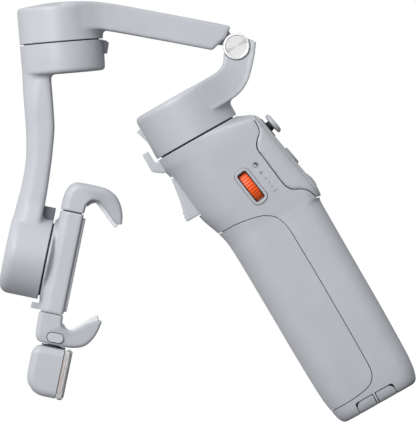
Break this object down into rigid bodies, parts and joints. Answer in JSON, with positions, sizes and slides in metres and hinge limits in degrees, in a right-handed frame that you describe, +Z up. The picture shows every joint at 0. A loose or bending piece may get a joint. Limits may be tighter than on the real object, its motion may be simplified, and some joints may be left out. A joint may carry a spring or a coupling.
{
  "type": "gimbal stabilizer",
  "caption": "Folding phone gimbal: upright grip with a clip-on thumb control pod, motorised pan, tilt and roll arms, a sprung phone clamp and a clamp-mounted fill light.",
  "frame": {"origin": "middle of the handle's flat base", "axes": "+Z up the handle; +X towards the thumb side with the control pod; +Y away from the side with the dial"},
  "size_m": [0.1716, 0.042, 0.2412],
  "materials": {
    "shell": "satin moulded, fine grain",
    "grip": "soft-touch, fine moulded texture",
    "dark": "matte",
    "stop": "satin",
    "orange": "satin",
    "steel": "machined",
    "spun": "spun, radial highlights",
    "copper": "enamelled windings",
    "rubber": "matte",
    "cell": "shrink wrap",
    "board": "solder mask",
    "diffuser": "clear, frosted front",
    "led": "resin"
  },
  "bodies": {
    "handle": {"handle_shell_left": "shell", "handle_shell_right": "shell", "grip_sleeve": "grip", "base_cap": "shell", "stow_hook": "shell", "dial_bezel": "shell", "dial_axle": "steel", "usb_port": "steel", "battery_pack": "cell", "main_board": "board", "remote_cradle": "shell", "pan_motor_seat": "dark", "pan_stator": "copper", "pan_bearing": "steel"},
    "tripod": {"tripod_hub": "stop", "tripod_leg_1": "stop", "tripod_leg_2": "stop", "tripod_leg_3": "stop"},
    "trigger": {"trigger": "shell"},
    "dial": {"dial_wheel": "orange"},
    "remote": {"remote_body": "shell", "remote_face": "shell", "joystick_bezel": "dark"},
    "joystick_yoke": {"joystick_yoke": "steel"},
    "joystick_cap": {"joystick_cap": "shell"},
    "record_button": {"record_button": "shell"},
    "mode_button": {"mode_button": "shell"},
    "pan": {"pan_housing": "shell", "pan_stop_tab": "stop", "pan_rotor": "steel", "hinge_pin": "steel", "hinge_cap_front": "spun", "hinge_cap_rear": "spun"},
    "fold_arm": {"fold_arm": "shell", "tilt_rotor": "steel"},
    "roll_arm": {"roll_arm": "shell", "tilt_stop_tab": "stop", "roll_arm_stop": "stop", "tilt_motor_seat": "dark", "tilt_stator": "copper", "tilt_bearing": "steel", "roll_rotor": "steel"},
    "clamp": {"clamp_mount_plate": "shell", "clamp_body": "shell", "clamp_back_pad": "rubber", "lower_claw": "shell", "lower_claw_pad": "rubber", "roll_motor_seat": "dark", "roll_stator": "copper", "roll_bearing": "steel"},
    "clamp_jaw": {"upper_claw": "shell", "upper_claw_pad": "rubber", "clamp_rod_front": "steel", "clamp_rod_rear": "steel"},
    "clamp_button": {"clamp_button": "shell"},
    "light": {"swivel_post": "dark", "light_housing": "shell", "led_board": "board", "led_strip": "led", "light_diffuser": "diffuser"}
  },
  "joints": [
    {"name": "tripod_pull", "type": "slide", "parent": "handle", "child": "tripod", "axis": [0, 0, -1], "range_m": [0, 0.046]},
    {"name": "trigger_pull", "type": "hinge", "parent": "handle", "child": "trigger", "pos_m": [-0.0286, 0, 0.135], "axis": [0, -1, 0], "range_deg": [0, 6], "stiffness_Nm_per_rad": 0.05, "springref_deg": -11.46},
    {"name": "dial_spin", "type": "hinge", "parent": "handle", "child": "dial", "pos_m": [-0.00231, -0.01018, 0.1167], "axis": [0.9888, 0, 0.1495], "continuous": true},
    {"name": "remote_detach", "type": "slide", "parent": "handle", "child": "remote", "axis": [0.9836, 0, 0.1805], "range_m": [0, 0.02]},
    {"name": "joystick_up_down", "type": "hinge", "parent": "remote", "child": "joystick_yoke", "pos_m": [0.01601, 0, 0.13537], "axis": [0, 1, 0], "range_deg": [-12, 12], "stiffness_Nm_per_rad": 0.02},
    {"name": "joystick_left_right", "type": "hinge", "parent": "joystick_yoke", "child": "joystick_cap", "pos_m": [0.01601, 0, 0.13537], "axis": [-0.1805, 0, 0.9836], "range_deg": [-12, 12], "stiffness_Nm_per_rad": 0.02},
    {"name": "record_press", "type": "slide", "parent": "remote", "child": "record_button", "axis": [-0.9836, 0, -0.1805], "range_m": [0, 0.0008], "stiffness_N_per_m": 600, "springref_m": -0.0005},
    {"name": "mode_press", "type": "slide", "parent": "remote", "child": "mode_button", "axis": [-0.9836, 0, -0.1805], "range_m": [0, 0.0007], "stiffness_N_per_m": 600, "springref_m": -0.0005},
    {"name": "pan_turn", "type": "hinge", "parent": "handle", "child": "pan", "pos_m": [-0.0126, 0, 0.1485], "axis": [0, 0, 1], "range_deg": [-20, 300]},
    {"name": "arm_fold", "type": "hinge", "parent": "pan", "child": "fold_arm", "pos_m": [0.0238, 0, 0.1755], "axis": [0, 1, 0], "range_deg": [-25, 82]},
    {"name": "tilt_turn", "type": "hinge", "parent": "fold_arm", "child": "roll_arm", "pos_m": [-0.0455, 0, 0.2169], "axis": [0.4195, 0, 0.9078], "range_deg": [-60, 260]},
    {"name": "roll_turn", "type": "hinge", "parent": "roll_arm", "child": "clamp", "pos_m": [-0.1003, 0, 0.1328], "axis": [0.7536, 0, -0.6574], "range_deg": [-160, 160]},
    {"name": "clamp_open", "type": "slide", "parent": "clamp", "child": "clamp_jaw", "axis": [0.6574, 0, 0.7536], "range_m": [0, 0.034], "stiffness_N_per_m": 100, "springref_m": -0.03},
    {"name": "clamp_button_press", "type": "slide", "parent": "clamp", "child": "clamp_button", "axis": [0, 1, 0], "range_m": [0, 0.0008], "stiffness_N_per_m": 600, "springref_m": -0.0005},
    {"name": "light_swivel", "type": "hinge", "parent": "clamp", "child": "light", "pos_m": [-0.11769, 0, 0.09674], "axis": [0.6574, 0, 0.7536], "range_deg": [-180, 180]}
  ]
}
